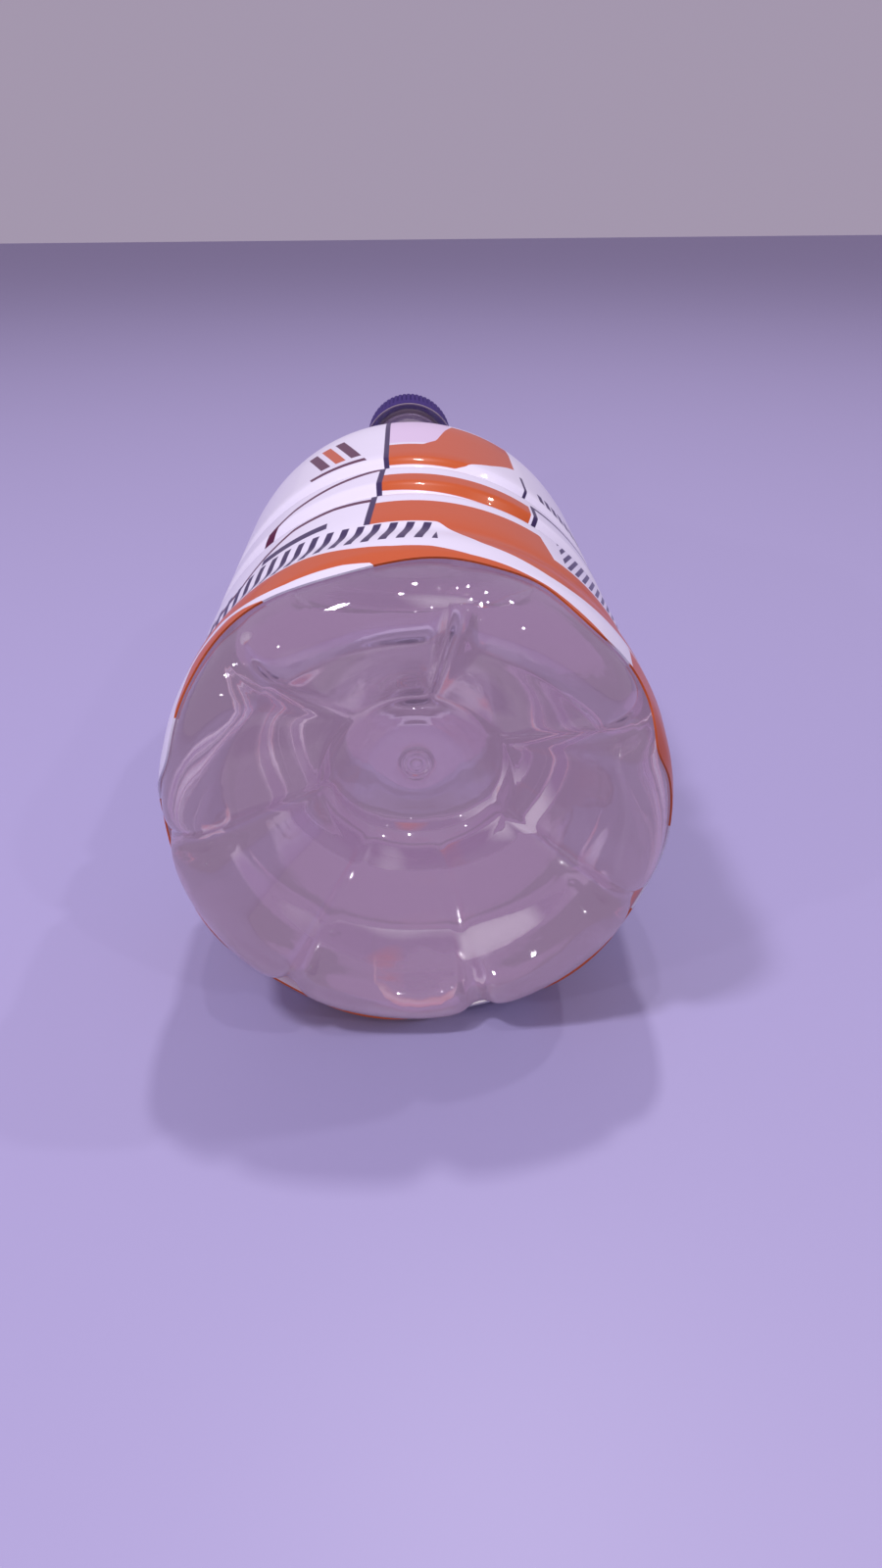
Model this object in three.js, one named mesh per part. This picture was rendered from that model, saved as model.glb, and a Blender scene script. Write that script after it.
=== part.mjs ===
// A clear plastic drink bottle, full and shut, lying on its side.
//
// Millimetres, Z up. The bottle's axis runs along Y: the base faces -Y and the
// cap faces +Y. The floor is z = 0, and the origin lies on it under the middle
// of the bottle. A station is a distance along the axis, counted from the foot
// that the bottle stands on when it is upright.

import * as THREE from "three";

// Whole bottle
const LENGTH = 290;
const SLEEVE_RADIUS = 39.5;
const REST_HEIGHT = 39;
const GAP = 0.3;
const SIDES = 42;

// Sleeve
const SLEEVE_THICKNESS = 0.3;
const SLEEVE_START = 6.5;
const SLEEVE_END = 220;

// Blown body
const WALL = 0.5;
const BODY_RADIUS = SLEEVE_RADIUS - SLEEVE_THICKNESS - GAP;
const RIB_RADIUS = BODY_RADIUS - (SLEEVE_RADIUS - REST_HEIGHT);
const GROOVES = [50, 69];
const GROOVE_HALF_WIDTH = 4.5;
const GROOVE_FLOOR_HALF_WIDTH = 1.5;
const GROOVE_FLOOR_RADIUS = 36.6;
const WAIST_START = 18;
const WAIST_MIDDLE = 27;
const WAIST_END = 33;
const WAIST_RADIUS = RIB_RADIUS - 0.3;
const BAND_START = 12.5;
const BAND_END = 101;

// Base
const PETALS = 7;
const FIRST_VALLEY = 28.2;
const PETAL_STEPS = [0, 3.4, 8, 15];
const VALLEY_SHARE = [1, 0.6, 0.1, 0];
const VALLEY_THICKENING = 1.6;
const DISC_RADIUS = 7.2;
const PUSH_UP = 23.8;
const DISC_THICKNESS = 2;
const NUB_RADIUS = 2.6;
const NUB_HEIGHT = 1.4;

// Neck
const NECK_RADIUS = 13.2;
const NECK_START = 248;
const SUPPORT_RING_RADIUS = 16.3;
const SUPPORT_RING_START = 262.5;
const SUPPORT_RING_END = 264.8;
const FINISH_RADIUS = 12.6;
const BORE_RADIUS = 10.9;
const BORE_START = 258;

// Cap and the tamper ring that it breaks from
const CAP_RADIUS = 15.6;
const CAP_TEETH = 30;
const CAP_TOOTH_DEPTH = 0.45;
const CAP_START = 274.2;
const CAP_TOP_THICKNESS = 1.5;
const CAP_CHAMFER = 1;
const CAP_BORE = FINISH_RADIUS + 0.7;
const TAMPER_START = 269.2;
const TAMPER_RADIUS = 15.8;

// Drink
const DRINK_LEVEL = 34.5;

const MOUTH = LENGTH - CAP_TOP_THICKNESS - GAP;

// Profiles are lists of [radius, station], from the middle of the base along
// the outside. The panels and the valleys of the base have one profile each.
const DISC = [
  [DISC_RADIUS, PUSH_UP],
  [9.2, PUSH_UP - 1.5],
];
const PANEL = [
  [15.8, 16.2],
  [23.5, 8],
  [29.5, 1.6],
  [32, 0],
  [35.4, 1],
  [37.6, 3.6],
  [BODY_RADIUS - 0.3, 8],
];
const VALLEY = [
  [16.4, 16.8],
  [25, 9.8],
  [30.8, 5.2],
  [33.1, 4.1],
  [35.5, 4.3],
  [37.1, 6.1],
  [BODY_RADIUS - 0.6, 9.5],
];
const SHOULDER = [
  [37.9, 109],
  [36.2, 118],
  [33.1, 131],
  [29.4, 146],
  [25.2, 164],
  [20.8, 185],
  [15.4, SLEEVE_END],
  [NECK_RADIUS, NECK_START],
];

function bodyProfile() {
  const profile = [
    [BODY_RADIUS, BAND_START],
    [BODY_RADIUS, WAIST_START],
    [WAIST_RADIUS, WAIST_MIDDLE],
    [RIB_RADIUS, WAIST_END],
  ];
  GROOVES.forEach((centre) => {
    profile.push([RIB_RADIUS, centre - GROOVE_HALF_WIDTH]);
    profile.push([GROOVE_FLOOR_RADIUS, centre - GROOVE_FLOOR_HALF_WIDTH]);
    profile.push([GROOVE_FLOOR_RADIUS, centre + GROOVE_FLOOR_HALF_WIDTH]);
    profile.push([RIB_RADIUS, centre + GROOVE_HALF_WIDTH]);
  });
  profile.push([RIB_RADIUS, BAND_END]);
  return profile.concat(SHOULDER);
}

// Moves a profile into the bottle by a distance, square to its own line.
function inset(profile, distance) {
  const normals = profile.slice(1).map(([r, y], k) => {
    const [r0, y0] = profile[k];
    const length = Math.hypot(r - r0, y - y0);
    return [(y0 - y) / length, (r - r0) / length];
  });
  return profile.map(([r, y], k) => {
    const before = normals[Math.max(k - 1, 0)];
    const after = normals[Math.min(k, normals.length - 1)];
    const scale = distance / (1 + before[0] * after[0] + before[1] * after[1]);
    return [r + (before[0] + after[0]) * scale, y + (before[1] + after[1]) * scale];
  });
}

// Directions round the axis, in degrees from +X towards +Z. Those of the body
// are even, with one straight down. Those of the base crowd at its valleys.
const EVEN = Array.from({ length: SIDES }, (_, k) => 270 + (360 * k) / SIDES);

function petalDirections() {
  const petal = 360 / PETALS;
  const steps = PETAL_STEPS.map((step, k) => [step, VALLEY_SHARE[k]]);
  steps.push([petal / 2, 0]);
  for (let k = PETAL_STEPS.length - 1; k > 0; k -= 1) {
    steps.push([petal - PETAL_STEPS[k], VALLEY_SHARE[k]]);
  }
  const directions = [];
  for (let p = 0; p < PETALS; p += 1) {
    for (const [step, share] of steps) {
      directions.push([FIRST_VALLEY + p * petal + step, share]);
    }
  }
  return directions;
}

const PETAL_DIRECTIONS = petalDirections();

// A point of the bottle. The underside is pressed flat where it rests, less
// by the depth of the piece's surface under the sleeve's outside.
function place(radius, station, degrees, depth, level = Infinity) {
  const angle = THREE.MathUtils.degToRad(degrees);
  const low = depth - REST_HEIGHT;
  const height = Math.min(Math.max(radius * Math.sin(angle), low), level);
  return new THREE.Vector3(radius * Math.cos(angle), station - LENGTH / 2, height + REST_HEIGHT);
}

// A ring is a list of { turn, point }, with turn in degrees from 0 to 360.
function ring(directions, pointAt) {
  const turned = directions.map((degrees, k) => ({
    turn: ((degrees % 360) + 360) % 360,
    point: pointAt(degrees, k),
  }));
  return turned.sort((a, b) => a.turn - b.turn);
}

function evenRing([radius, station], depth, level) {
  return ring(EVEN, (degrees) => place(radius, station, degrees, depth, level));
}

function petalRing(panel, valley, depth, level) {
  const degrees = PETAL_DIRECTIONS.map(([direction]) => direction);
  return ring(degrees, (direction, k) => {
    const share = PETAL_DIRECTIONS[k][1];
    const radius = THREE.MathUtils.lerp(panel[0], valley[0], share);
    const station = THREE.MathUtils.lerp(panel[1], valley[1], share);
    return place(radius, station, direction, depth, level);
  });
}

function tip(station) {
  return [{ turn: 0, point: place(0, station, 0, 0) }];
}

// Joins rings into one closed surface. Two rings may differ in their number
// of points: the next triangle always takes the nearer direction.
function skin(rings, looped = false) {
  const positions = [];
  const starts = [];
  for (const one of rings) {
    starts.push(positions.length / 3);
    one.forEach(({ point }) => positions.push(point.x, point.y, point.z));
  }
  const index = [];
  const joins = looped ? rings.length : rings.length - 1;
  for (let k = 0; k < joins; k += 1) {
    const next = (k + 1) % rings.length;
    const a = rings[k];
    const b = rings[next];
    const turnOf = (one, i) => one[i % one.length].turn + 360 * Math.floor(i / one.length);
    const lastA = a.length === 1 ? 0 : a.length;
    const lastB = b.length === 1 ? 0 : b.length;
    let i = 0;
    let j = 0;
    while (i < lastA || j < lastB) {
      const atA = starts[k] + (i % a.length);
      const atB = starts[next] + (j % b.length);
      const stepA = j === lastB || (i < lastA && turnOf(a, i + 1) <= turnOf(b, j + 1));
      if (stepA) {
        i += 1;
        index.push(atA, atB, starts[k] + (i % a.length));
      } else {
        j += 1;
        index.push(atA, atB, starts[next] + (j % b.length));
      }
    }
  }
  const geometry = new THREE.BufferGeometry();
  geometry.setAttribute("position", new THREE.Float32BufferAttribute(positions, 3));
  geometry.setIndex(index);
  geometry.computeVertexNormals();
  return geometry;
}

function mesh(name, geometry, material) {
  const piece = new THREE.Mesh(geometry, material);
  piece.name = name;
  return piece;
}

// The rings of one surface of the blown shell, from the edge of the base's
// disc to the neck: 0 is the outside, and more is further in.
function shellRings(distance, level) {
  const body = bodyProfile();
  const depth = SLEEVE_THICKNESS + GAP + distance;
  const panels = inset([...DISC, ...PANEL, ...body], distance);
  const valleys = inset([...DISC, ...VALLEY, ...body], distance * VALLEY_THICKENING);
  const even = panels.slice(DISC.length + PANEL.length);
  const rings = DISC.map((_, k) => evenRing(panels[k], depth, level));
  for (let k = DISC.length; k < DISC.length + PANEL.length; k += 1) {
    rings.push(petalRing(panels[k], valleys[k], depth, level));
  }
  even.forEach((point) => rings.push(evenRing(point, depth, level)));
  return rings;
}

function bottle() {
  const outer = shellRings(0);
  const inner = shellRings(WALL);
  const nub = [
    tip(PUSH_UP - NUB_HEIGHT),
    evenRing([NUB_RADIUS, PUSH_UP - NUB_HEIGHT], 0),
    evenRing([NUB_RADIUS, PUSH_UP], 0),
  ];
  const finish = [
    [NECK_RADIUS, SUPPORT_RING_START],
    [SUPPORT_RING_RADIUS, SUPPORT_RING_START],
    [SUPPORT_RING_RADIUS, SUPPORT_RING_END],
    [FINISH_RADIUS, SUPPORT_RING_END],
    [FINISH_RADIUS, MOUTH],
    [BORE_RADIUS, MOUTH],
    [BORE_RADIUS, BORE_START],
  ];
  return skin([
    ...nub,
    ...outer,
    ...finish.map((point) => evenRing(point, 0)),
    ...inner.reverse(),
    tip(PUSH_UP + DISC_THICKNESS),
  ]);
}

function drink() {
  const distance = WALL + GAP;
  const rings = shellRings(distance, DRINK_LEVEL);
  const neck = [
    [BORE_RADIUS - GAP, BORE_START],
    [BORE_RADIUS - GAP, MOUTH - GAP],
  ];
  return skin([
    tip(PUSH_UP + DISC_THICKNESS + GAP),
    ...rings,
    ...neck.map((point) => evenRing(point, 0)),
    tip(MOUTH - GAP),
  ]);
}

function sleeve() {
  const covered = bodyProfile().filter(([, station]) => station <= SLEEVE_END);
  const profile = [[BODY_RADIUS - 0.45, SLEEVE_START], ...covered];
  const inside = inset(profile, -GAP);
  const outside = inset(profile, -GAP - SLEEVE_THICKNESS);
  return skin(
    [
      ...outside.map((point) => evenRing(point, 0)),
      ...inside.reverse().map((point) => evenRing(point, SLEEVE_THICKNESS)),
    ],
    true,
  );
}

// The cap is a cup with teeth for grip, upside down over the neck's finish.
function cap() {
  const directions = Array.from({ length: 2 * CAP_TEETH }, (_, k) => (180 * k) / CAP_TEETH);
  const toothed = (radius, station) =>
    ring(directions, (degrees, k) => {
      const tooth = k % 2 === 0 ? 0 : CAP_TOOTH_DEPTH;
      return place(radius - tooth, station, degrees, 0);
    });
  return skin([
    tip(MOUTH + GAP),
    evenRing([CAP_BORE, MOUTH + GAP], 0),
    evenRing([CAP_BORE, CAP_START], 0),
    toothed(CAP_RADIUS, CAP_START),
    toothed(CAP_RADIUS, LENGTH - CAP_CHAMFER),
    evenRing([CAP_RADIUS - CAP_CHAMFER, LENGTH], 0),
    tip(LENGTH),
  ]);
}

function tamperRing() {
  const end = CAP_START - GAP;
  const section = [
    [TAMPER_RADIUS, TAMPER_START],
    [TAMPER_RADIUS, end],
    [CAP_BORE, end],
    [CAP_BORE, TAMPER_START],
  ];
  return skin(
    section.map((point) => evenRing(point, 0)),
    true,
  );
}

const clearPlastic = new THREE.MeshStandardMaterial({
  color: 0xd9d2e0,
  roughness: 0.08,
  metalness: 0,
  transparent: true,
  opacity: 0.35,
});
const clearDrink = new THREE.MeshStandardMaterial({
  color: 0xe3e0e6,
  roughness: 0.05,
  metalness: 0,
  transparent: true,
  opacity: 0.5,
});
const printedFilm = new THREE.MeshStandardMaterial({
  color: 0xf08a4a,
  roughness: 0.25,
  metalness: 0,
});
const navyPlastic = new THREE.MeshStandardMaterial({
  color: 0x2c2468,
  roughness: 0.4,
  metalness: 0,
});

const group = new THREE.Group();
group.add(mesh("bottle", bottle(), clearPlastic));
group.add(mesh("drink", drink(), clearDrink));
group.add(mesh("sleeve", sleeve(), printedFilm));
group.add(mesh("cap", cap(), navyPlastic));
group.add(mesh("tamper_ring", tamperRing(), navyPlastic));

export default group;
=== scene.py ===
# A full clear plastic drink bottle, lying on its side with its base to the camera.

import math

import bmesh
import bpy
from mathutils import Matrix, Vector


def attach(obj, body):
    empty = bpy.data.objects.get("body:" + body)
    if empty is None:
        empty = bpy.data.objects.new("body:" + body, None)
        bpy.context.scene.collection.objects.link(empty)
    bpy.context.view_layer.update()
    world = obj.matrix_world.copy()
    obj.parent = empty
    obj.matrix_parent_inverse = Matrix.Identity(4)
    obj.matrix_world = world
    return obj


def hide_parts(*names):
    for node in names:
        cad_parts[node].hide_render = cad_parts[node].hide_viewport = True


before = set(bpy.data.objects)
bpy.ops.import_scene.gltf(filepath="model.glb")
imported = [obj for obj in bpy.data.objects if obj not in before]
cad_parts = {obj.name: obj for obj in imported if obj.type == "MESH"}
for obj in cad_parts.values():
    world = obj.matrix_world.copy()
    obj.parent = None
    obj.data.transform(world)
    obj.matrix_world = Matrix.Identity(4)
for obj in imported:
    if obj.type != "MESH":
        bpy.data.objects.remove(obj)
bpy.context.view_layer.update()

# Blown bottle
# The bottle is blown from clear PET in one piece: a waisted and grooved body, a base of seven
# petals round a thick disc, a long shoulder, and a neck with its support ring. It lies on its
# side, pressed a little flat along the line that it rests on.

MM = 0.001
SAME_POINT = 0.01 * MM
SOFT_EDGE = math.radians(35)
LENGTH = 290.0
AXIS_HEIGHT = 39.0
BODY_RADIUS = 38.9
UPPER_RADIUS = 38.4
WAIST = 27.0
WAIST_START = 18.0
GROOVES = (50.0, 69.0)
GROOVE_HALF_WIDTH = 4.6
GROOVE_FLOOR = 36.6
RIB_CROWN = 0.35
BODY_START = 12.5
BODY_END = 101.0
NECK_START = 248.0
NECK_RADIUS = 13.2
BORE_RADIUS = 10.9
BORE_START = 258.0
MOUTH = 288.2
WALL = 0.5
DISC_WALL = 1.4
PETALS = 7
FIRST_VALLEY = 28.2
VALLEY_HALF_WIDTH = 3.6
VALLEY_STEPS = (-15, -11, -8.2, -6.2, -4.8, -3.7, -2.7, -1.5, 0, 1.5, 2.7, 3.7, 4.8, 6.2, 8.2, 11, 15)
PANEL_COLUMNS = 6
SLEEVE_FILM = 0.3
SLEEVE_GAP = 0.3

# Lines are lists of (radius, station). A station is the distance from the foot plane.
DISC_LINE = [
    (0, 22.6), (0.9, 22.5), (1.2, 22.7), (1.7, 22.7), (2.0, 22.5), (2.5, 22.6), (2.9, 23.1),
    (3.6, 23.4), (5.6, 23.4), (6.6, 23.2), (7.2, 23.1), (7.8, 22.8), (9.2, 22.3),
]
PANEL_LINE = [
    (11.6, 21.0), (13.6, 19.4), (14.9, 17.6), (15.8, 16.2), (18.6, 13.4), (23.5, 8.0), (27.2, 4.1),
    (29.5, 1.6), (30.6, 0.6), (32, 0), (33.8, 0.2), (35.4, 1.0), (37.0, 2.6), (37.9, 4.4),
    (38.4, 6.4), (38.7, 9.0), (BODY_RADIUS, BODY_START),
]
VALLEY_LINE = [
    (11.7, 20.9), (13.7, 19.4), (15.1, 17.9), (16.2, 16.6), (19.3, 13.6), (24.5, 8.9), (28.0, 6.0),
    (30.5, 4.2), (31.7, 3.6), (33.1, 3.3), (34.6, 3.4), (35.5, 3.8), (36.5, 4.7), (37.2, 5.9),
    (37.8, 7.4), (38.35, 9.5), (BODY_RADIUS, BODY_START),
]
SHOULDER_LINE = [
    (37.9, 109), (36.2, 118), (33.1, 131), (29.4, 146), (25.2, 164), (20.8, 185), (15.4, 220),
    (13.6, 236), (NECK_RADIUS, NECK_START),
]
FINISH_LINE = [
    (NECK_RADIUS, 262.3), (16.0, 262.5), (16.3, 262.8), (16.3, 264.5), (16.0, 264.8), (12.7, 264.8),
    (12.6, 265.1), (12.6, 287.9), (12.3, MOUTH), (11.75, MOUTH),
]


def smooth_line(points, steps):
    """The same line with more points, on a smooth curve through the given ones."""
    line = [points[0]]
    for k in range(len(points) - 1):
        a, b, c, d = (points[min(max(i, 0), len(points) - 1)] for i in (k - 1, k, k + 1, k + 2))
        for step in range(1, steps + 1):
            t = step / steps
            weights = (
                (-t + 2 * t * t - t**3) / 2,
                (2 - 5 * t * t + 3 * t**3) / 2,
                (t + 4 * t * t - 3 * t**3) / 2,
                (-t * t + t**3) / 2,
            )
            line.append(tuple(sum(w * p[i] for w, p in zip(weights, (a, b, c, d))) for i in (0, 1)))
    return line


def body_radius(station):
    """The ribbed body: a soft waist, then ribs a little fuller in their middle, and grooves."""
    if station < WAIST:
        share = max(0, (station - WAIST_START) / (WAIST - WAIST_START))
        fall = BODY_RADIUS - UPPER_RADIUS + RIB_CROWN
        return BODY_RADIUS - fall * share * share * (3 - 2 * share)
    top = UPPER_RADIUS
    edges = [WAIST, *GROOVES]
    for low, high in zip(edges, edges[1:]):
        if low <= station <= high:
            across = (2 * station - low - high) / (high - low)
            top -= RIB_CROWN * across**4
    radius = top
    for centre in GROOVES:
        share = 1 - abs(station - centre) / GROOVE_HALF_WIDTH
        if share > 0:
            dip = min(1, share / 0.72)
            dip = dip * dip * (3 - 2 * dip)
            radius = top - (top - GROOVE_FLOOR) * dip
    return radius


BODY_LINE = [(body_radius(k), k) for k in (14, 16, 18, 20)]
BODY_LINE += [(body_radius(22 + k * 0.85), 22 + k * 0.85) for k in range(62)]
BODY_LINE += [(UPPER_RADIUS, k) for k in (78, 84, 90, 96, BODY_END)]


def shell_line(valley_share):
    """The outside from the middle of the disc to the neck, where a share of it is valley."""
    heel = [
        tuple(p + (v - p) * valley_share for p, v in zip(panel, valley))
        for panel, valley in zip(PANEL_LINE, VALLEY_LINE)
    ]
    base = smooth_line(DISC_LINE, 1) + smooth_line([DISC_LINE[-1], *heel], 3)[1:]
    shoulder = smooth_line([BODY_LINE[-1], *SHOULDER_LINE], 4)[1:]
    return base + BODY_LINE + shoulder


def wall_at(radius, station):
    """The wall is thin, and thickens towards the disc in the middle of the base."""
    near = min(1, max(0, (16 - radius) / 8)) if station < 30 else 0
    return WALL + (DISC_WALL - WALL) * near


def inner_line(line, less):
    """The same line moved into the bottle by the wall's thickness, less a bit of it."""
    moved = []
    for k, (radius, station) in enumerate(line):
        before = line[max(k - 1, 0)]
        after = line[min(k + 1, len(line) - 1)]
        along = math.hypot(after[0] - before[0], after[1] - before[1])
        depth = (wall_at(radius, station) - less) / along
        inward = (before[1] - after[1]) * depth if k else 0
        moved.append((radius + inward, station + (after[0] - before[0]) * depth))
    return moved


def at(radius, station, degrees):
    """A point of the bottle in metres: degrees go round its axis, from +X towards +Z."""
    turn = math.radians(degrees)
    return MM * Vector(
        (radius * math.cos(turn), station - LENGTH / 2, radius * math.sin(turn) + AXIS_HEIGHT)
    )


def start_mesh(name):
    """A small plane opens a new mesh, left in edit mode with nothing in it."""
    bpy.ops.object.select_all(action="DESELECT")
    bpy.ops.mesh.primitive_plane_add(size=MM)
    piece = bpy.context.object
    piece.name = name
    bpy.ops.object.mode_set(mode="EDIT")
    bpy.ops.mesh.select_mode(type="VERT")
    bpy.ops.mesh.delete(type="VERT")
    return piece


def draw_line(points):
    """A plane is merged to one point, and that point is extruded along the line."""
    bpy.ops.mesh.select_all(action="DESELECT")
    bpy.ops.mesh.primitive_plane_add(size=MM, location=points[0])
    bpy.ops.mesh.merge(type="CENTER")
    for before, after in zip(points, points[1:]):
        bpy.ops.mesh.extrude_region_move(TRANSFORM_OT_translate={"value": after - before})


def select_points(piece, wanted):
    """Selects the vertices for which wanted is true, and nothing else."""
    bpy.ops.mesh.select_all(action="DESELECT")
    mesh = bmesh.from_edit_mesh(piece.data)
    for vertex in mesh.verts:
        vertex.select = wanted(vertex.co)
    mesh.select_flush(True)
    bmesh.update_edit_mesh(piece.data)


def press_flat(piece, height):
    """What hangs below a height is pressed up to it, as where the bottle rests."""
    select_points(piece, lambda p: p.z < height)
    bpy.ops.transform.resize(value=(1, 1, 0), center_override=(0, 0, height))


def petal_skin(name, line_for, depth):
    """Lines across one valley, bridged, with the last one spun over the panel beside it,
    and the whole of that spun seven times round."""
    skin = start_mesh(name)
    for step in VALLEY_STEPS:
        share = 1 / (1 + (abs(step) / VALLEY_HALF_WIDTH) ** 3)
        draw_line([at(radius, station, FIRST_VALLEY + step) for radius, station in line_for(share)])
    bpy.ops.mesh.select_all(action="SELECT")
    bpy.ops.mesh.bridge_edge_loops(type="SINGLE")
    bpy.ops.mesh.select_all(action="SELECT")
    bpy.ops.mesh.remove_doubles(threshold=0.001 * MM)
    axis_point = at(0, 0, 0)
    across = (at(1, 0, FIRST_VALLEY + VALLEY_STEPS[-1] + 90) - axis_point).normalized()
    select_points(skin, lambda p: abs((p - axis_point).dot(across)) < 0.002 * MM)
    panel = math.radians(360 / PETALS - 2 * VALLEY_STEPS[-1])
    about = {"center": axis_point, "axis": (0, 1, 0)}
    bpy.ops.mesh.spin(steps=PANEL_COLUMNS, angle=panel, **about)
    bpy.ops.mesh.select_all(action="SELECT")
    bpy.ops.mesh.spin(steps=PETALS - 1, angle=math.tau * (PETALS - 1) / PETALS, dupli=True, **about)
    bpy.ops.mesh.select_all(action="SELECT")
    bpy.ops.mesh.remove_doubles(threshold=SAME_POINT)
    press_flat(skin, depth * MM)
    bpy.ops.mesh.select_all(action="SELECT")
    bpy.ops.mesh.normals_make_consistent(inside=False)
    bpy.ops.object.mode_set(mode="OBJECT")
    return skin


def outside_line(share):
    return shell_line(share) + FINISH_LINE


def inside_line(share):
    top = [(BORE_RADIUS, BORE_START), (BORE_RADIUS, 287.9), (11.2, MOUTH), (11.75, MOUTH)]
    return inner_line(shell_line(share), 0) + top


bottle = petal_skin("blown_bottle", outside_line, SLEEVE_FILM + SLEEVE_GAP)
inside = petal_skin("bottle_inside", inside_line, SLEEVE_FILM + SLEEVE_GAP + WALL)
bpy.ops.object.select_all(action="DESELECT")
bottle.select_set(True)
inside.select_set(True)
bpy.context.view_layer.objects.active = bottle
bpy.ops.object.join()
bpy.ops.object.mode_set(mode="EDIT")
bpy.ops.mesh.select_all(action="SELECT")
bpy.ops.mesh.remove_doubles(threshold=SAME_POINT)
bpy.ops.mesh.normals_make_consistent(inside=False)
bpy.ops.object.mode_set(mode="OBJECT")
bpy.ops.object.shade_smooth_by_angle(angle=SOFT_EDGE)


def new_material(name):
    material = bpy.data.materials.new(name)
    material.use_nodes = True
    return material, material.node_tree, material.node_tree.nodes["Principled BSDF"]


def node_of(tree, kind, **values):
    """A node with some of its settings and sockets set or linked: _0 is the first socket."""
    node = tree.nodes.new(kind)
    for key, value in values.items():
        if hasattr(node, key):
            setattr(node, key, value)
            continue
        socket = node.inputs[int(key[1:]) if key[0] == "_" else key.replace("_", " ")]
        if isinstance(value, bpy.types.NodeSocket):
            tree.links.new(value, socket)
        else:
            socket.default_value = value
    return node


pet, tree, surface = new_material("clear_pet")
surface.inputs["Base Color"].default_value = (0.955, 0.935, 0.965, 1)
surface.inputs["Transmission Weight"].default_value = 1
surface.inputs["IOR"].default_value = 1.57
place = node_of(tree, "ShaderNodeTexCoord")
smudges = node_of(tree, "ShaderNodeTexNoise", Vector=place.outputs["Object"], Scale=90.0, Detail=4.0)
haze = node_of(tree, "ShaderNodeMapRange", Value=smudges.outputs["Fac"], From_Min=0.45, From_Max=0.75)
haze.inputs["To Min"].default_value = 0.015
haze.inputs["To Max"].default_value = 0.09
tree.links.new(haze.outputs["Result"], surface.inputs["Roughness"])
waves = node_of(tree, "ShaderNodeTexNoise", Vector=place.outputs["Object"], Scale=140.0, Detail=2.0)
relief = node_of(tree, "ShaderNodeBump", Height=waves.outputs["Fac"], Strength=0.12, Distance=0.4 * MM)
tree.links.new(relief.outputs["Normal"], surface.inputs["Normal"])
bottle.data.materials.append(pet)
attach(bottle, "root")
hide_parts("bottle")

# Drink
# The drink is clear. It fills the bottle up to a level that leaves a thin bubble of air
# along the top, and it reaches just into the wall, so that no gap of air shows.

DRINK_LEVEL = 34.5
DRINK_END = MOUTH - 0.3
INTO_WALL = 0.15


def drink_line(share):
    reach = BORE_RADIUS + INTO_WALL
    top = [(reach, BORE_START), (reach, DRINK_END), (5.0, DRINK_END), (0.0, DRINK_END)]
    return inner_line(shell_line(share), INTO_WALL) + top


drink = petal_skin("drink_fill", drink_line, SLEEVE_FILM + SLEEVE_GAP + WALL - INTO_WALL)
bpy.ops.object.mode_set(mode="EDIT")
bpy.ops.mesh.select_all(action="SELECT")
level = (0, 0, (AXIS_HEIGHT + DRINK_LEVEL) * MM)
bpy.ops.mesh.bisect(plane_co=level, plane_no=(0, 0, 1), use_fill=True, clear_outer=True)
bpy.ops.mesh.select_all(action="SELECT")
bpy.ops.mesh.normals_make_consistent(inside=False)
bpy.ops.object.mode_set(mode="OBJECT")
bpy.ops.object.shade_smooth_by_angle(angle=SOFT_EDGE)

liquid, tree, surface = new_material("clear_drink_painted_glow")
surface.inputs["Base Color"].default_value = (0.95, 0.93, 0.96, 1)
surface.inputs["Transmission Weight"].default_value = 1
surface.inputs["IOR"].default_value = 1.335
surface.inputs["Roughness"].default_value = 0.0
# A faint mauve emission makes the drink glow: painted light for the mauve tone seen through the base.
surface.inputs["Emission Color"].default_value = (0.86, 0.58, 0.92, 1)
surface.inputs["Emission Strength"].default_value = 0.06
drink.data.materials.append(liquid)
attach(drink, "root")
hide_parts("drink")

# Printed sleeve
# A shrink sleeve of thin film hugs the ribs, the grooves and the shoulder. It is cut a
# little unevenly near the base, and printed in white, orange and navy on its inside.

SLEEVE_SIDES = 210
SLEEVE_END = 220.0
SLEEVE_OVER = SLEEVE_FILM + SLEEVE_GAP
CUT_OVER = 0.42
CUT_NOMINAL = 6.0
CUT_FADE = 14.0
CUT_MEAN = 7.2
CUT_LOWEST = 1.3
CUT_DETAILS = ((62, 9, 3.0), (22, 11, -5.5), (162, 12, -4.5), (-125, 25, -2.5))


def cut_station(degrees):
    """Where the film ends: nearer the base on the petals than at the valleys."""
    wave = 1.6 * math.cos(PETALS * math.radians(degrees - FIRST_VALLEY))
    uneven = CUT_MEAN + wave + 2.4 * math.cos(math.radians(degrees - 125))
    for middle, width, rise in CUT_DETAILS:
        uneven += rise * math.exp(-(((degrees - middle) / width) ** 2))
    return max(uneven, CUT_LOWEST)


def film_radius(station):
    """The outside of the film, which spans the valleys instead of dipping into them."""
    if station >= BODY_START:
        return body_radius(station) + SLEEVE_OVER
    heel = smooth_line(PANEL_LINE[11:], 4)
    over = CUT_OVER + (SLEEVE_OVER - CUT_OVER) * max(0, (station - 9) / (BODY_START - 9))
    for (r0, s0), (r1, s1) in zip(heel, heel[1:]):
        if s0 <= station <= s1:
            return r0 + (r1 - r0) * (station - s0) / (s1 - s0) + over
    return heel[0][0] + over


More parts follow.
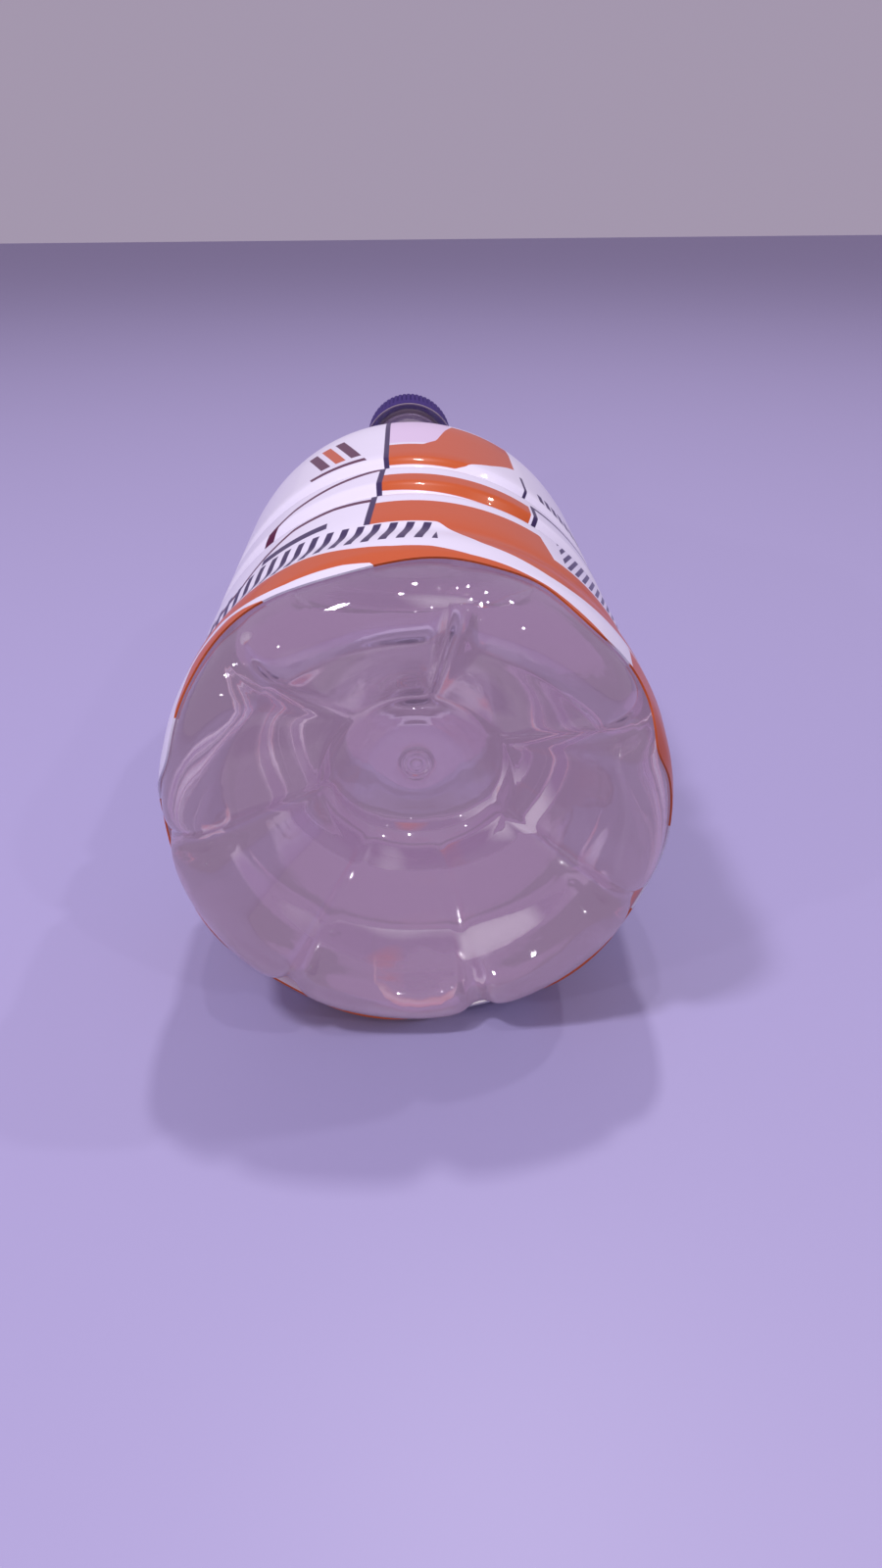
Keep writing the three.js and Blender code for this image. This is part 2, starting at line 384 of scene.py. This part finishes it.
heel_stations = [CUT_NOMINAL + k * (CUT_FADE - CUT_NOMINAL) / 8 for k in range(9)]
covered = [(film_radius(s), s) for s in heel_stations]
covered += [(r + SLEEVE_OVER, s) for r, s in BODY_LINE if s > CUT_FADE]
covered += [
    (r + SLEEVE_OVER, s)
    for r, s in smooth_line([BODY_LINE[-1], *SHOULDER_LINE], 4)[1:]
    if s <= SLEEVE_END
]
sleeve = start_mesh("printed_film")
draw_line([at(radius, station, 90) for radius, station in covered])
bpy.ops.mesh.select_all(action="SELECT")
bpy.ops.mesh.spin(steps=SLEEVE_SIDES, angle=math.tau, center=at(0, 0, 0), axis=(0, -1, 0))
bpy.ops.mesh.select_all(action="SELECT")
bpy.ops.mesh.remove_doubles(threshold=SAME_POINT)

# The rings next to the cut are pulled along the heel, point by point, to the uneven edge.
bpy.ops.mesh.select_all(action="DESELECT")
mesh = bmesh.from_edit_mesh(sleeve.data)
mesh.verts.ensure_lookup_table()
near_cut = [v.index for v in mesh.verts if v.co.y < (CUT_FADE - LENGTH / 2 - 0.1) * MM]
for index in near_cut:
    vertex = mesh.verts[index]
    station = vertex.co.y / MM + LENGTH / 2
    degrees = math.degrees(math.atan2(vertex.co.z - AXIS_HEIGHT * MM, vertex.co.x))
    share = (CUT_FADE - station) / (CUT_FADE - CUT_NOMINAL)
    pulled = CUT_FADE - share * (CUT_FADE - cut_station(degrees))
    vertex.select = True
    bpy.ops.transform.translate(value=at(film_radius(pulled), pulled, degrees) - vertex.co)
    vertex.select = False
press_flat(sleeve, 0)
bpy.ops.mesh.select_all(action="SELECT")
bpy.ops.mesh.normals_make_consistent(inside=False)
bpy.ops.object.mode_set(mode="OBJECT")

INK_WHITE = (0.72, 0.68, 0.80, 1)
# A painted shade colour, not an ink: the lilac of the upper white panel.
PAINTED_SHADE_LILAC = (0.66, 0.52, 0.70, 1)
INK_ORANGE = (0.50, 0.085, 0.015, 1)
INK_NAVY = (0.030, 0.015, 0.075, 1)
INK_MAROON = (0.085, 0.012, 0.045, 1)
FRONT_TURN = 180.0


def build_print_and_shade():
    """The print, most of which repeats on the other side of the film, and a lilac painted shade."""
    tree = bpy.data.node_groups.new("sleeve_print_and_painted_shade", "ShaderNodeTree")
    tree.interface.new_socket("Color", in_out="OUTPUT", socket_type="NodeSocketColor")

    def calc(operation, *values):
        node = tree.nodes.new("ShaderNodeMath")
        node.operation = operation
        for socket, value in zip(node.inputs, values):
            if isinstance(value, bpy.types.NodeSocket):
                tree.links.new(value, socket)
            else:
                socket.default_value = value
        return node.outputs[0]

    def clip(value):
        return calc("MINIMUM", calc("MAXIMUM", value, 0.0), 1.0)

    def inside(low, value, high, sharpness=6.0):
        """1 between two limits and 0 outside, with edges as soft as a printed edge."""
        over = calc("MULTIPLY_ADD", calc("SUBTRACT", value, low), sharpness, 0.5)
        under = calc("MULTIPLY_ADD", calc("SUBTRACT", high, value), sharpness, 0.5)
        return calc("MULTIPLY", clip(over), clip(under))

    def both(first, second):
        return calc("MULTIPLY", first, second)

    def either(*masks):
        total = masks[0]
        for mask in masks[1:]:
            total = calc("MAXIMUM", total, mask)
        return total

    def bend(*points):
        """A station that changes round the sleeve, through (degrees, station) points."""
        node = tree.nodes.new("ShaderNodeFloatCurve")
        curve = node.mapping.curves[0]
        for _ in points[2:]:
            curve.points.new(0.5, 0.5)
        for point, (degrees, value) in zip(curve.points, points):
            point.location = (degrees / FRONT_TURN, value / SLEEVE_END)
            point.handle_type = "VECTOR"
        node.mapping.update()
        tree.links.new(share_of_turn, node.inputs["Value"])
        return calc("MULTIPLY", node.outputs[0], SLEEVE_END)

    def inked(under, ink, mask):
        node = tree.nodes.new("ShaderNodeMix")
        node.data_type = "RGBA"
        tree.links.new(mask, node.inputs[0])
        for socket, value in ((node.inputs[6], under), (node.inputs[7], ink)):
            if isinstance(value, bpy.types.NodeSocket):
                tree.links.new(value, socket)
            else:
                socket.default_value = value
        return node.outputs[2]

    place = tree.nodes.new("ShaderNodeTexCoord")
    split = node_of(tree, "ShaderNodeSeparateXYZ", Vector=place.outputs["Object"])
    station = calc("MULTIPLY_ADD", split.outputs["Y"], 1000.0, LENGTH / 2)
    up = calc("SUBTRACT", split.outputs["Z"], AXIS_HEIGHT * MM)
    whole_turn = calc("MULTIPLY", calc("ARCTAN2", up, split.outputs["X"]), 180 / math.pi)
    turn = calc("WRAP", whole_turn, FRONT_TURN, 0.0)
    share_of_turn = calc("DIVIDE", turn, FRONT_TURN)

    # An upright line parts the orange fields on its right from the white panels on its left.
    line = calc("MULTIPLY_ADD", calc("MAXIMUM", calc("SUBTRACT", 71.0, station), 0.0), 0.085, 96.6)
    upright = inside(calc("SUBTRACT", line, 0.75), turn, calc("ADD", line, 0.75))
    upright = both(upright, inside(29.5, station, 150.0))
    low = bend(
        (0, 15.5), (38, 15.4), (55, 15.3), (60, 15.8), (69, 18.3), (75, 19.9), (79, 24), (84, 29.4),
        (180, 29.8),
    )
    high = bend((0, 31), (55, 31), (57, 41), (180, 41))
    field_c = both(inside(low, station, high), inside(-9.0, turn, line))
    low = bend((0, 51), (58, 51), (70, 52), (98, 52.8), (180, 52.8))
    field_b = both(inside(low, station, 59.5), inside(57.0, turn, line))
    low = bend((0, 90), (57, 88), (60, 85.5), (66, 79), (74, 72.6), (77, 71.6), (180, 71.8))
    high = bend((0, 108), (57, 108), (76, 108), (79, 100), (82, 89), (86, 84.4), (180, 83.4))
    field_a = both(inside(low, station, high), inside(57.0, turn, line))
    # Painted shade: a soft-edged lilac over the upper white panel from station 86, for a darker,
    # receding surface that the sleeve's shape does not have.
    painted_shade = both(inside(86.0, station, 112.0, 1.0), inside(77.0, turn, line))

    # Next to the cut runs an orange band, and a white gap opens below it on the left.
    low = bend(
        (0, 0), (95, 0), (98, 9.2), (104, 10.4), (117, 11.4), (122, 12.4), (135, 16.5), (172, 16.5),
        (180, 0),
    )
    high = bend(
        (0, 12), (25, 10), (30, 8.8), (39, 7.1), (46, 6.9), (51, 8.1), (61, 10.8), (70, 12), (78, 12.6),
        (86, 14.5), (94, 14.7), (102, 16.3), (113, 19.5), (124, 20.8), (160, 20), (180, 12),
    )
    band = inside(low, station, high)
    high = bend((0, 0), (119, 0), (122, 10.4), (132, 14.3), (143, 14.3), (151, 8), (156, 0), (180, 0))
    patch = inside(-9.0, station, high)
    side = both(inside(9.0, whole_turn, 37.0), inside(-9.0, station, 14.0))
    marks = calc("PINGPONG", calc("ADD", whole_turn, 168.0), 14.0)
    marks = both(inside(-9.0, calc("ADD", marks, station), 8.5), inside(-180.0, whole_turn, -60.0))
    orange = either(field_c, field_b, field_a, band, patch, side, marks)

    # Plain bars, rails, stripes and rows stand where the film carries its dark print.
    middle = bend((0, 24), (84, 23.8), (100, 24), (112, 26), (127, 27.5), (180, 28))
    lean = calc("PINGPONG", calc("MULTIPLY_ADD", station, 0.24, turn), 1.9)
    row = inside(calc("SUBTRACT", middle, 5.4), station, calc("ADD", middle, 5.0))
    row = both(both(row, inside(1.0, lean, 9.0)), inside(84.5, turn, 150.0))
    bar = both(inside(33.5, station, 36.5), inside(110.0, turn, 128.0))
    stripe = calc("PINGPONG", calc("MULTIPLY_ADD", station, 0.5, turn), 1.2)
    stripes = both(inside(0.6, stripe, 9.0, 12.0), inside(32.0, station, 45.0))
    stripes = both(stripes, inside(20.0, turn, 51.0))
    dash = calc("PINGPONG", turn, 1.4)
    dashes = both(both(inside(0.5, dash, 9.0), inside(74.0, station, 80.0)), inside(26.0, turn, 50.0))
    frames = both(inside(45.8, station, 48.6), inside(-9.0, turn, 57.0))
    frames = either(frames, both(inside(60.4, station, 61.8), inside(-9.0, turn, 56.0)))
    frames = either(frames, both(inside(54.8, turn, 56.2), inside(46.0, station, 61.0)))
    frames = either(frames, both(inside(54.8, turn, 55.8), inside(65.0, station, 84.0)))
    navy = either(upright, row, bar, stripes, dashes, frames)
    rail = bend((0, 43), (98, 43), (109, 44), (120, 43), (128, 37.6), (135, 31), (180, 26))
    rails = inside(calc("SUBTRACT", rail, 0.9), station, calc("ADD", rail, 0.9))
    rail = bend((0, 64), (98, 64), (111, 61), (122, 58), (129, 54), (145, 46), (180, 40))
    rails = either(rails, inside(calc("SUBTRACT", rail, 0.9), station, calc("ADD", rail, 0.9)))
    rails = both(rails, inside(line, turn, 165.0))
    leaning = calc("MULTIPLY_ADD", station, -0.35, turn)
    tall = inside(80.0, station, 99.0)
    blocks = both(tall, either(inside(76.0, leaning, 79.0), inside(85.5, leaning, 88.5)))
    blocks = either(blocks, both(inside(74.5, station, 77.0), inside(76.0, leaning, 93.0)))
    core = both(tall, inside(80.7, leaning, 83.8))

    colour = inked(INK_WHITE, PAINTED_SHADE_LILAC, painted_shade)
    colour = inked(colour, INK_ORANGE, orange)
    colour = inked(colour, INK_MAROON, either(rails, blocks))
    colour = inked(colour, INK_ORANGE, core)
    colour = inked(colour, INK_NAVY, navy)
    out = tree.nodes.new("NodeGroupOutput")
    tree.links.new(colour, out.inputs["Color"])
    return tree


sleeve_print_and_painted_shade = build_print_and_shade()

front, tree, surface = new_material("printed_film")
ink = tree.nodes.new("ShaderNodeGroup")
ink.node_tree = sleeve_print_and_painted_shade
tree.links.new(ink.outputs["Color"], surface.inputs["Base Color"])
place = node_of(tree, "ShaderNodeTexCoord")
creases = node_of(tree, "ShaderNodeTexNoise", Vector=place.outputs["Object"], Scale=120.0, Detail=3.0)
relief = node_of(tree, "ShaderNodeBump", Height=creases.outputs["Fac"], Strength=0.1, Distance=0.5 * MM)
tree.links.new(relief.outputs["Normal"], surface.inputs["Normal"])
surface.inputs["Roughness"].default_value = 0.35
surface.inputs["Specular IOR Level"].default_value = 0.15
surface.inputs["Coat Weight"].default_value = 0.3
surface.inputs["Coat Roughness"].default_value = 0.04
sleeve.data.materials.append(front)

# From inside, the film glows by emission: painted light for daylight through it, mauve, with soft
# painted pale and reddish places low down.
back, tree, surface = new_material("film_inside_painted_glow")
place = node_of(tree, "ShaderNodeTexCoord")
height = node_of(tree, "ShaderNodeSeparateXYZ", Vector=place.outputs["Object"])
low_down = node_of(tree, "ShaderNodeMapRange", Value=height.outputs["Z"], From_Min=0.040, From_Max=0.020)
shade = node_of(tree, "ShaderNodeRGB").outputs[0]
shade.default_value = (0.30, 0.19, 0.33, 1)
# Noise patches, faded out above 40 mm, paint pale light and a reddish glow for the orange print lit from
# behind.
for scale, start, colour in ((30.0, 0.52, (0.78, 0.72, 0.78, 1)), (43.0, 0.60, (0.62, 0.16, 0.11, 1))):
    clouds = node_of(tree, "ShaderNodeTexNoise", Vector=place.outputs["Object"], Scale=scale, Detail=1.0)
    patch = node_of(tree, "ShaderNodeMapRange", Value=clouds.outputs["Fac"], To_Max=0.9)
    patch.inputs["From Min"].default_value = start
    patch.inputs["From Max"].default_value = start + 0.1
    faded = {"_0": patch.outputs[0], "_1": low_down.outputs[0]}
    share = node_of(tree, "ShaderNodeMath", operation="MULTIPLY", **faded)
    mix = node_of(tree, "ShaderNodeMix", data_type="RGBA")
    tree.links.new(share.outputs[0], mix.inputs[0])
    tree.links.new(shade, mix.inputs[6])
    mix.inputs[7].default_value = colour
    shade = mix.outputs[2]
tree.links.new(shade, surface.inputs["Base Color"])
tree.links.new(shade, surface.inputs["Emission Color"])
# The emission makes this painted light: the inside glows in these colours under any lamp.
surface.inputs["Emission Strength"].default_value = 0.5
surface.inputs["Roughness"].default_value = 0.6
surface.inputs["Specular IOR Level"].default_value = 0.1
sleeve.data.materials.append(back)

# The film gets its thickness last, so that its inside can take the second material.
film = sleeve.modifiers.new("film", "SOLIDIFY")
film.thickness = SLEEVE_FILM * MM
film.offset = -1
film.use_even_offset = True
film.material_offset = 1
bpy.ops.object.modifier_apply(modifier=film.name)
bpy.ops.object.shade_smooth_by_angle(angle=math.radians(50))
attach(sleeve, "root")
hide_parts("sleeve")

# Screw cap
# The cap is moulded in navy polyethylene and screwed down over the neck. Its side has
# upright ribs for grip, and the edge round its flat top is rounded.

CAP_RADIUS = 15.7
CAP_START = 274.2
CAP_RIBS = 60
CAP_BORE = 13.3
CAP_LINE = [
    (0, 288.5), (CAP_BORE, 288.5), (CAP_BORE, CAP_START), (15.1, CAP_START), (CAP_RADIUS, 274.5),
    (CAP_RADIUS, 287.2), (15.6, 288.3), (15.1, 289.3), (14.0, 289.85), (12.5, LENGTH), (0, LENGTH),
]


def turned_piece(name, line, sides):
    """A line is drawn once and spun round the bottle's axis."""
    piece = start_mesh(name)
    draw_line([at(radius, station, 90) for radius, station in line])
    bpy.ops.mesh.select_all(action="SELECT")
    bpy.ops.mesh.spin(steps=sides, angle=math.tau, center=at(0, 0, 0), axis=(0, -1, 0))
    bpy.ops.mesh.select_all(action="SELECT")
    bpy.ops.mesh.remove_doubles(threshold=SAME_POINT)
    bpy.ops.mesh.normals_make_consistent(inside=False)
    return piece


cap = turned_piece("screw_cap", CAP_LINE, CAP_RIBS * 4)
middle = at(0, 0, 0)


def between_ribs(p):
    turn = math.degrees(math.atan2(p.z - middle.z, p.x)) / (360 / CAP_RIBS)
    outer = math.hypot(p.z - middle.z, p.x) > 15.5 * MM
    return outer and abs(turn - round(turn)) > 0.3


select_points(cap, between_ribs)
bpy.ops.transform.resize(value=(0.972, 1, 0.972), center_override=middle)
bpy.ops.object.mode_set(mode="OBJECT")
bpy.ops.object.shade_smooth_by_angle(angle=SOFT_EDGE)

navy, tree, surface = new_material("navy_polyethylene")
place = node_of(tree, "ShaderNodeTexCoord")
grain = node_of(tree, "ShaderNodeTexNoise", Vector=place.outputs["Object"], Scale=900.0, Detail=3.0)
tint = node_of(tree, "ShaderNodeValToRGB", Fac=grain.outputs["Fac"])
tint.color_ramp.elements[0].color = (0.030, 0.014, 0.120, 1)
tint.color_ramp.elements[1].color = (0.050, 0.026, 0.170, 1)
tree.links.new(tint.outputs["Color"], surface.inputs["Base Color"])
surface.inputs["Roughness"].default_value = 0.5
surface.inputs["Specular IOR Level"].default_value = 0.08
cap.data.materials.append(navy)
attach(cap, "root")
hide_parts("cap")

# Tamper ring
# The ring is moulded with the cap and stays under it on the neck. The small bridges that join it to the
# cap, and tear when the bottle is first opened, are not modelled.

RING_LINE = [
    (CAP_BORE, 269.4), (13.6, 269.2), (15.6, 269.2), (15.9, 269.5), (15.9, 273.6), (15.6, 273.9),
    (CAP_BORE, 273.9), (CAP_BORE, 269.4),
]
tamper_ring = turned_piece("tamper_ring_moulded", RING_LINE, 96)
bpy.ops.object.mode_set(mode="OBJECT")
bpy.ops.object.shade_smooth_by_angle(angle=SOFT_EDGE)
tamper_ring.data.materials.append(navy)
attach(tamper_ring, "root")
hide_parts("tamper_ring")

# Table, light and camera
# A plain pale table under soft light from above, and the camera close in front of the
# base, looking down at it.

bpy.ops.object.select_all(action="DESELECT")
bpy.ops.mesh.primitive_plane_add(size=6)
table = bpy.context.object
table.name = "table"
pale, tree, surface = new_material("pale_table")
surface.inputs["Base Color"].default_value = (0.355, 0.315, 0.53, 1)
surface.inputs["Roughness"].default_value = 0.45
table.data.materials.append(pale)

world = bpy.data.worlds.new("soft_room")
world.use_nodes = True
world.node_tree.nodes["Background"].inputs["Color"].default_value = (0.62, 0.52, 0.70, 1)
world.node_tree.nodes["Background"].inputs["Strength"].default_value = 0.6
bpy.context.scene.world = world


def lamp(name, place, target, size, power, colour):
    bpy.ops.object.light_add(type="AREA", location=place)
    light = bpy.context.object
    light.name = name
    light.data.size = size
    light.data.energy = power
    light.data.color = colour
    light.rotation_euler = (Vector(target) - Vector(place)).to_track_quat("-Z", "Y").to_euler()


lamp("lamp_left", (-0.45, -0.35, 1.0), (0, -0.05, 0), 0.12, 5, (0.93, 0.9, 1.0))
lamp("lamp_back", (0.08, 0.35, 1.3), (0, -0.1, 0), 0.07, 5, (1.0, 0.97, 1.0))
lamp("lamp_right", (0.55, -0.75, 0.7), (0, -0.1, 0), 0.025, 0.8, (1.0, 0.97, 1.0))
lamp("lamp_low", (-0.6, -0.6, 0.4), (0, -0.1, 0), 0.025, 0.6, (1.0, 0.97, 1.0))
lamp("lamp_above", (-0.05, -0.3, 1.2), (0, -0.1, 0), 0.03, 1.2, (1.0, 0.97, 1.0))
lamp("lamp_far", (0.5, 0.1, 0.9), (0, -0.1, 0), 0.03, 1.2, (1.0, 0.97, 1.0))
lamp("lamp_front", (0.15, -1.0, 0.75), (0, -0.1, 0), 0.025, 1.0, (1.0, 0.97, 1.0))

bpy.ops.object.camera_add(location=(0, -0.2751, 0.1219))
camera = bpy.context.object
camera.data.lens = 24.14
camera.data.sensor_width = 36
pitch, yaw, roll = math.radians(29.52), math.radians(-1.51), math.radians(-0.50)
ahead = Vector((-math.sin(yaw) * math.cos(pitch), math.cos(yaw) * math.cos(pitch), -math.sin(pitch)))
right = Vector((math.cos(yaw), math.sin(yaw), 0))
above = right.cross(ahead)
right, above = (
    right * math.cos(roll) + above * math.sin(roll),
    above * math.cos(roll) - right * math.sin(roll),
)
camera.rotation_euler = Matrix((right, above, -ahead)).transposed().to_euler()
camera.data.clip_start = 0.01
bpy.context.scene.camera = camera
bpy.context.scene.view_settings.view_transform = "Standard"
